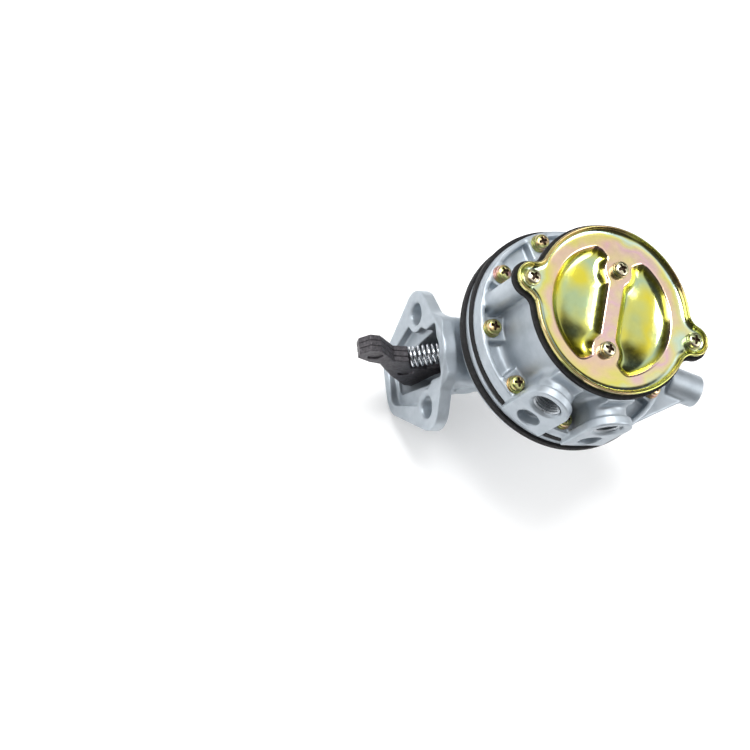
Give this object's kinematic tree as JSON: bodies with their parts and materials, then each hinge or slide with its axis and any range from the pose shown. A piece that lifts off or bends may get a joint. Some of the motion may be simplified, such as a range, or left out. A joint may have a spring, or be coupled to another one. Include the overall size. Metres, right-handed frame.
{
  "type": "mechanical fuel pump",
  "caption": "Mechanical diaphragm fuel pump with a rocker arm, a two-bolt mounting flange, side ports, a vent boss and a pressed yellow-zinc cover.",
  "frame": {"origin": "on the mounting face, midway between the two bolt holes", "axes": "-X out of the mounting face towards the engine, +Z along the diaphragm axis towards the cover, bolt holes along Y"},
  "size_m": [0.1694, 0.1042, 0.1243],
  "materials": {
    "housing_casting": "cast",
    "spacer_casting": "cast",
    "body_casting": "cast",
    "rocker_steel": "dark phosphated",
    "rivet_steel": "dark",
    "plain_steel": "plain",
    "bright_spring": "bright zinc",
    "black_rubber": "matt",
    "valve_rubber": "matt",
    "valve_brass": "plain",
    "cover_zinc": "yellow zinc passivated",
    "screw_zinc": "yellow zinc passivated",
    "cover_screw_zinc": "yellow zinc passivated"
  },
  "bodies": {
    "pump_body": {"rocker_housing": "housing_casting", "spacer_ring": "spacer_casting", "valve_body": "body_casting", "pivot_pin": "plain_steel", "pivot_plug": "plain_steel", "pivot_washers": "plain_steel", "return_spring": "bright_spring", "diaphragm_spring": "bright_spring", "inlet_valve_spring": "bright_spring", "outlet_valve_spring": "bright_spring", "seal_retainer": "plain_steel", "rod_seal": "black_rubber", "lower_diaphragm": "black_rubber", "upper_diaphragm": "black_rubber", "cover_diaphragm": "black_rubber", "inlet_valve_seat": "valve_brass", "outlet_valve_seat": "valve_brass", "cover": "cover_zinc", "flange_washers": "screw_zinc", "flange_lock_washers": "screw_zinc", "flange_screws": "screw_zinc", "cover_lock_washers": "cover_screw_zinc", "cover_screws": "cover_screw_zinc"},
    "rocker_arm": {"rocker_plate_left": "rocker_steel", "rocker_plate_middle": "rocker_steel", "rocker_plate_right": "rocker_steel", "rocker_rivets": "rivet_steel"},
    "diaphragm_stack": {"pull_rod": "plain_steel", "lower_plate": "plain_steel", "hub_spacer": "plain_steel", "upper_plate": "plain_steel", "rod_nut": "plain_steel"},
    "inlet_valve": {"inlet_valve_disc": "valve_rubber"},
    "outlet_valve": {"outlet_valve_disc": "valve_rubber"}
  },
  "joints": [
    {"name": "rocker_pivot", "type": "hinge", "parent": "pump_body", "child": "rocker_arm", "pos_m": [0.0185, 0, 0.0065], "axis": [0, 1, 0], "range_deg": [0, 11], "stiffness_Nm_per_rad": 0.33, "springref_deg": -17.19, "deforming": ["return_spring"]},
    {"name": "pull_rod_slide", "type": "slide", "parent": "pump_body", "child": "diaphragm_stack", "axis": [0, 0, -1], "range_m": [0, 0.0071], "deforming": ["diaphragm_spring", "lower_diaphragm", "upper_diaphragm"]},
    {"name": "inlet_valve_lift", "type": "slide", "parent": "pump_body", "child": "inlet_valve", "axis": [0, 0, -1], "range_m": [0, 0.0015], "stiffness_N_per_m": 50, "springref_m": -0.002, "deforming": ["inlet_valve_spring"]},
    {"name": "outlet_valve_lift", "type": "slide", "parent": "pump_body", "child": "outlet_valve", "axis": [0, 0, 1], "range_m": [0, 0.0015], "stiffness_N_per_m": 50, "springref_m": -0.002, "deforming": ["outlet_valve_spring"]}
  ],
  "couplings": [
    {"joint": "pull_rod_slide", "follows": "rocker_pivot", "m_per_rad": 0.0366}
  ]
}
